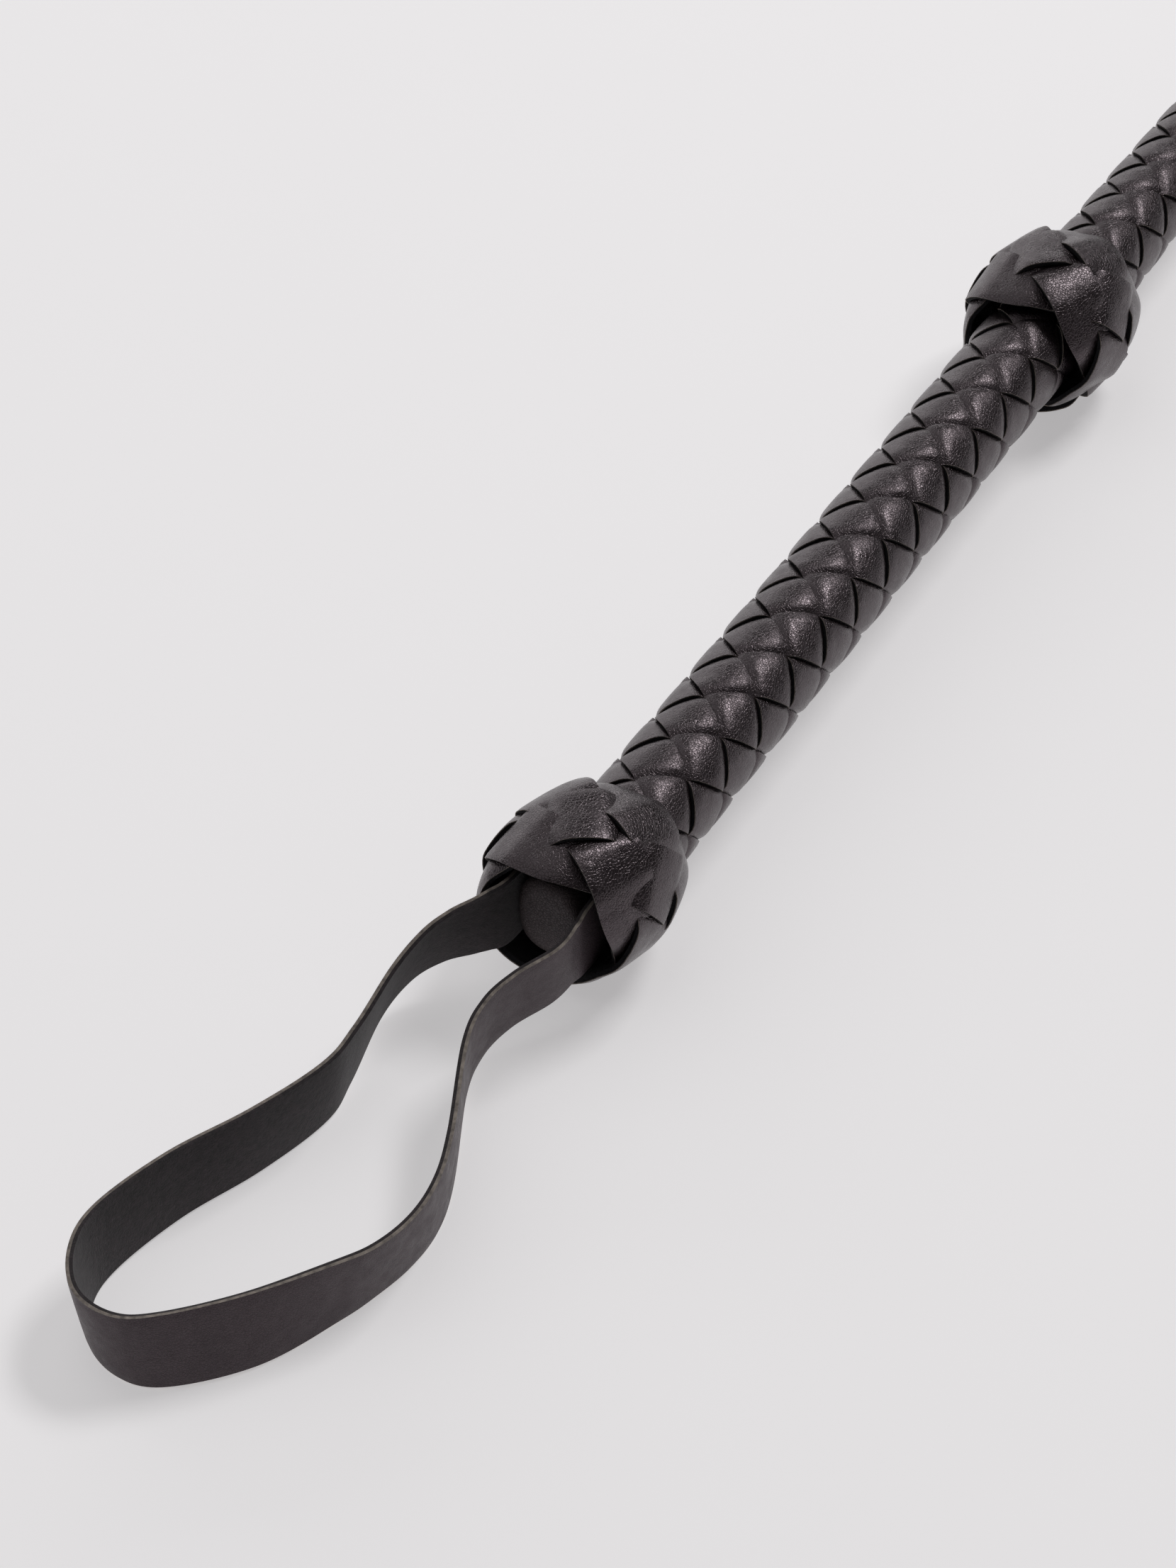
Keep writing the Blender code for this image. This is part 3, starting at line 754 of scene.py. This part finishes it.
def backing(name, dark, light, sheen):
    """Black fibrous backing: a short nap over a knit."""
    n = Nodes(name)
    fibre = n.noise(2600, 4.0, 0.7)
    clumps = n.noise(700, 2.0)
    height = n.mix("MIX", 0.45, fibre.outputs["Fac"], clumps.outputs["Fac"])
    n.join(n.ramp(height, [(0.35, dark), (0.65, light)]), n.shader.inputs["Base Color"])
    n.join(n.bump(height, 0.25 * MM), n.shader.inputs["Normal"])
    n.join(n.ramp(clumps.outputs["Fac"], [(0.0, 0.85), (1.0, 1.0)]), n.shader.inputs["Roughness"])
    n.shader.inputs["Sheen Weight"].default_value = sheen
    n.shader.inputs["Sheen Roughness"].default_value = 0.6
    n.shader.inputs["Specular IOR Level"].default_value = 0.2
    return n.material


def plain(name, dark, light, roughness, metallic=0.0, scale=500, relief=0.05 * MM):
    n = Nodes(name)
    tone = n.noise(scale, 4.0)
    n.join(n.ramp(tone.outputs["Fac"], [(0.3, dark), (0.7, light)]), n.shader.inputs["Base Color"])
    n.join(n.bump(tone.outputs["Fac"], relief), n.shader.inputs["Normal"])
    stops = [(0.3, roughness - 0.05), (0.7, roughness + 0.08)]
    n.join(n.ramp(tone.outputs["Fac"], stops), n.shader.inputs["Roughness"])
    n.shader.inputs["Metallic"].default_value = metallic
    return n.material


def waxed_thread(name):
    """Twisted thread: slanting ridges round the stitches."""
    n = Nodes(name)
    wave = n.add("ShaderNodeTexWave", wave_type="BANDS", bands_direction="DIAGONAL")
    wave.inputs["Scale"].default_value = 700
    wave.inputs["Distortion"].default_value = 1.5
    n.join(n.place, wave.inputs["Vector"])
    stops = [(0.2, (0.012, 0.011, 0.011)), (0.8, (0.05, 0.047, 0.045))]
    n.join(n.ramp(wave.outputs["Fac"], stops), n.shader.inputs["Base Color"])
    n.join(n.bump(wave.outputs["Fac"], 0.15 * MM), n.shader.inputs["Normal"])
    n.join(n.ramp(wave.outputs["Fac"], [(0.0, 0.7), (1.0, 0.5)]), n.shader.inputs["Roughness"])
    return n.material


def wood_grain(name):
    n = Nodes(name)
    wave = n.add("ShaderNodeTexWave", wave_type="RINGS", rings_direction="X")
    wave.inputs["Scale"].default_value = 300
    wave.inputs["Distortion"].default_value = 4
    n.join(n.place, wave.inputs["Vector"])
    stops = [(0.0, (0.3, 0.17, 0.08)), (1.0, (0.5, 0.33, 0.18))]
    n.join(n.ramp(wave.outputs["Fac"], stops), n.shader.inputs["Base Color"])
    n.join(n.bump(wave.outputs["Fac"], 0.1 * MM), n.shader.inputs["Normal"])
    n.join(n.ramp(wave.outputs["Fac"], [(0.0, 0.55), (1.0, 0.7)]), n.shader.inputs["Roughness"])
    return n.material


def leathers():
    strap = ((0.048, 0.036, 0.041), (0.066, 0.05, 0.056))
    cap = ((0.048, 0.038, 0.038), (0.064, 0.051, 0.05))
    return {
        "braid": leather("braid leather", INK, CHARCOAL, 0.3, 0.5 * MM, 0.045 * MM, 1.0),
        "knot": leather("knot leather", INK, CHARCOAL, 0.28, 0.56 * MM, 0.055 * MM, 1.0),
        "strap": leather("strap leather", *strap, 0.45, 0.45 * MM, 0.06 * MM),
        "cap": leather("cap leather", *cap, 0.45, 0.6 * MM, 0.12 * MM),
        "coating": cut_coating(),
        "backing": backing("backing", (0.002, 0.002, 0.003), (0.012, 0.011, 0.013), 0.05),
        "suede": backing("strap lining", (0.009, 0.0068, 0.0078), (0.046, 0.034, 0.039), 0.25),
    }


def inner_materials():
    fibreglass = ((0.45, 0.46, 0.4), (0.6, 0.61, 0.54))
    build_up = ((0.03, 0.03, 0.033), (0.06, 0.06, 0.065))
    steel = ((0.5, 0.5, 0.5), (0.65, 0.65, 0.64))
    return {
        "thread": waxed_thread("waxed thread"),
        "fibreglass": plain("fibreglass rod", *fibreglass, 0.35),
        "build_up": plain("grip build-up", *build_up, 0.6),
        "wood": wood_grain("plug wood"),
        "steel": plain("tack steel", *steel, 0.3, 1.0, 900, 0.02 * MM),
    }


# Stage

FLOOR_SIZE = 40
FLOOR_GLOW = 0.4
LIGHT_DISTANCE = 2.5
LIGHT_AIM = 100 * MM
SKY_STRENGTH = 0.08
CAMERA_LENS = 100.1
CAMERA_SENSOR = 36
CAMERA_PLACE = (-439.7 * MM, -268 * MM, 553.3 * MM)
CAMERA_TURN = (math.radians(45), 0, math.radians(-59.49))


def beyond_butt(station, sideways=0.0, height=0.0):
    """The world place of a point given from the butt end."""
    return Vector(BUTT) + Vector((station, sideways, height))


def add_floor():
    """A pale sheet that glows a little itself, so that shadows on it stay faint."""
    bpy.ops.mesh.primitive_grid_add(x_subdivisions=4, y_subdivisions=4, size=FLOOR_SIZE)
    floor = bpy.context.active_object
    floor.name = "studio_floor"
    n = Nodes("studio paper")
    tone = n.noise(30, 2.0)
    stops = [(0.0, (0.8, 0.786, 0.794)), (1.0, (0.81, 0.796, 0.804))]
    n.join(n.ramp(tone.outputs["Fac"], stops), n.shader.inputs["Base Color"])
    n.shader.inputs["Emission Color"].default_value = (1.0, 0.982, 0.992, 1)
    n.shader.inputs["Emission Strength"].default_value = FLOOR_GLOW
    n.shader.inputs["Roughness"].default_value = 0.9
    n.shader.inputs["Specular IOR Level"].default_value = 0.1
    floor.data.materials.append(n.material)
    floor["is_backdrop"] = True


def add_light(name, direction, size, power):
    """A soft box in this direction from the handle, facing it."""
    light = bpy.data.lights.new(name, "AREA")
    light.shape = "RECTANGLE"
    light.size, light.size_y = size
    light.energy = power
    obj = bpy.data.objects.new(name, light)
    bpy.context.scene.collection.objects.link(obj)
    way = Vector(direction).normalized()
    obj.location = beyond_butt(LIGHT_AIM) + way * LIGHT_DISTANCE
    obj.rotation_euler = way.to_track_quat("Z", "Y").to_euler()


def add_lights():
    add_light("overhead softbox", (-0.1, 0.5, 0.85), (3.0, 3.0), 12)
    add_light("key softbox", (0.58, -0.2, 0.78), (0.9, 0.6), 20)
    add_light("back panel", (0.66, 0.68, 0.25), (3.0, 1.2), 14)


def add_world():
    world = bpy.data.worlds.new("studio")
    world.use_nodes = True
    sky = world.node_tree.nodes["Background"]
    sky.inputs["Color"].default_value = (1.0, 0.99, 0.995, 1)
    sky.inputs["Strength"].default_value = SKY_STRENGTH
    bpy.context.scene.world = world


def add_camera():
    """Looks down from beyond the butt end, with the crop running away to the upper right."""
    camera = bpy.data.cameras.new("camera")
    camera.sensor_fit = "VERTICAL"
    camera.sensor_height = CAMERA_SENSOR
    camera.lens = CAMERA_LENS
    camera.clip_start = 0.01
    obj = bpy.data.objects.new("camera", camera)
    bpy.context.scene.collection.objects.link(obj)
    obj.location = beyond_butt(*CAMERA_PLACE)
    obj.rotation_euler = CAMERA_TURN
    bpy.context.scene.camera = obj


# The crop

HANDLE_STRAND_ENDS = (22 * MM, 194 * MM)
HANDLE_STRAND_MESH = (14, 10)
SHAFT_STRAND_ENDS = (193 * MM, 547 * MM)
SHAFT_STRAND_MESH = (9, 6)
SHAFT_SEED = 20
LOOP_HINGE_SPAN = (-3 * MM, -20 * MM)
KEEPER_HINGE_SPAN = (564 * MM, 586 * MM)


def add_braid(materials):
    looks = [materials["braid"], materials["coating"], materials["backing"]]
    shaft = []
    for rising in (True, False):
        for number in range(STRAND_PAIRS):
            label = number + (1 if rising else 1 + STRAND_PAIRS)
            strand = (number, rising, *HANDLE_STRAND_ENDS, *HANDLE_STRAND_MESH)
            piece = braid_strand(f"handle_lace_{label}", *strand, looks, label)
            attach(piece, "crop")
            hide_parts(f"handle_strand_{label}")
            strand = (number, rising, *SHAFT_STRAND_ENDS, *SHAFT_STRAND_MESH)
            shaft.append(braid_strand(f"shaft_lace_{label}", *strand, looks, SHAFT_SEED + label))
    for piece in shaft:
        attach(piece, "crop")
        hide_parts("shaft_plait")


def butt_knot(looks):
    place = (15.8 * MM, 1.5 * MM, 0.0)
    turn = math.radians(73)
    form = KnotForm(13.0 * MM, 9.8 * MM, 8.0 * MM, 13.9 * MM)
    reach, width, lean = 7.8 * MM, 11.2 * MM, 0.1
    return turks_head("butt_knot_lace", place, turn, form, reach, width, lean, looks, 41)


def ring_knot(looks):
    place = (198.5 * MM, 0.0, 0.0)
    turn = math.radians(86)
    form = KnotForm(13.4 * MM, 9.2 * MM, 8.0 * MM, 13.9 * MM)
    reach, width, lean = 8.4 * MM, 10.4 * MM, 0.0
    return turks_head("ring_knot_lace", place, turn, form, reach, width, lean, looks, 42)


def add_knots(materials):
    looks = [materials["knot"], materials["coating"], materials["backing"]]
    butt = butt_knot(looks)
    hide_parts("butt_knot_strand", "butt_knot_core")
    ring = ring_knot(looks)
    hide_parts("ring_knot_strand", "ring_knot_core")
    for piece in (butt, ring):
        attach(piece, "crop")


def add_wrist_loop(materials):
    looks = [materials["strap"], materials["coating"], materials["suede"]]
    strap = add_strap(looks)
    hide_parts("wrist_loop", "loop_tail_left", "loop_tail_right")
    start, end = (tuple(beyond_butt(station)) for station in LOOP_HINGE_SPAN)
    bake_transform(strap)
    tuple(start)
    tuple(end)


def add_fittings(materials):
    cap = add_cap([materials["cap"]])
    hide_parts("end_cap")
    collar = add_collar([materials["knot"]])
    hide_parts("tip_collar")
    for piece in (cap, collar):
        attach(piece, "crop")


def add_flap(materials):
    looks = [materials["strap"], materials["coating"], materials["backing"]]
    keeper = add_keeper(looks)
    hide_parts("keeper", "keeper_tongue")
    start, end = (tuple(beyond_butt(station)) for station in KEEPER_HINGE_SPAN)
    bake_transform(keeper)
    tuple(start)
    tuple(end)
    for side, label in ((1, "left"), (-1, "right")):
        stitches = add_stitches(f"stitches_{label}", side, [materials["thread"]])
        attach(stitches, "keeper_flap")
        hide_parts(f"keeper_stitching_{label}")


def dress_frame(materials):
    """Gives the carried-over CAD nodes their materials."""
    looks = {
        "core_rod": "fibreglass",
        "handle_sleeve": "build_up",
        "shaft_filler": "build_up",
        "butt_whipping": "thread",
        "butt_plug": "wood",
        "loop_tack_left": "steel",
        "loop_tack_right": "steel",
        "tip_whipping": "thread",
    }
    for node, look in looks.items():
        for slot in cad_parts[node].material_slots:
            slot.link = "DATA"
            slot.material = materials[look]


def main():
    materials = {**leathers(), **inner_materials()}
    add_camera()
    add_world()
    add_lights()
    add_floor()
    dress_frame(materials)
    add_braid(materials)
    add_knots(materials)
    add_wrist_loop(materials)
    add_fittings(materials)
    add_flap(materials)
    bpy.context.scene.view_settings.view_transform = "Standard"
    boxes = {"cad": cad_bounds, "visual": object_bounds()}
    {name: [list(corner) for corner in box] for name, box in boxes.items()}


main()
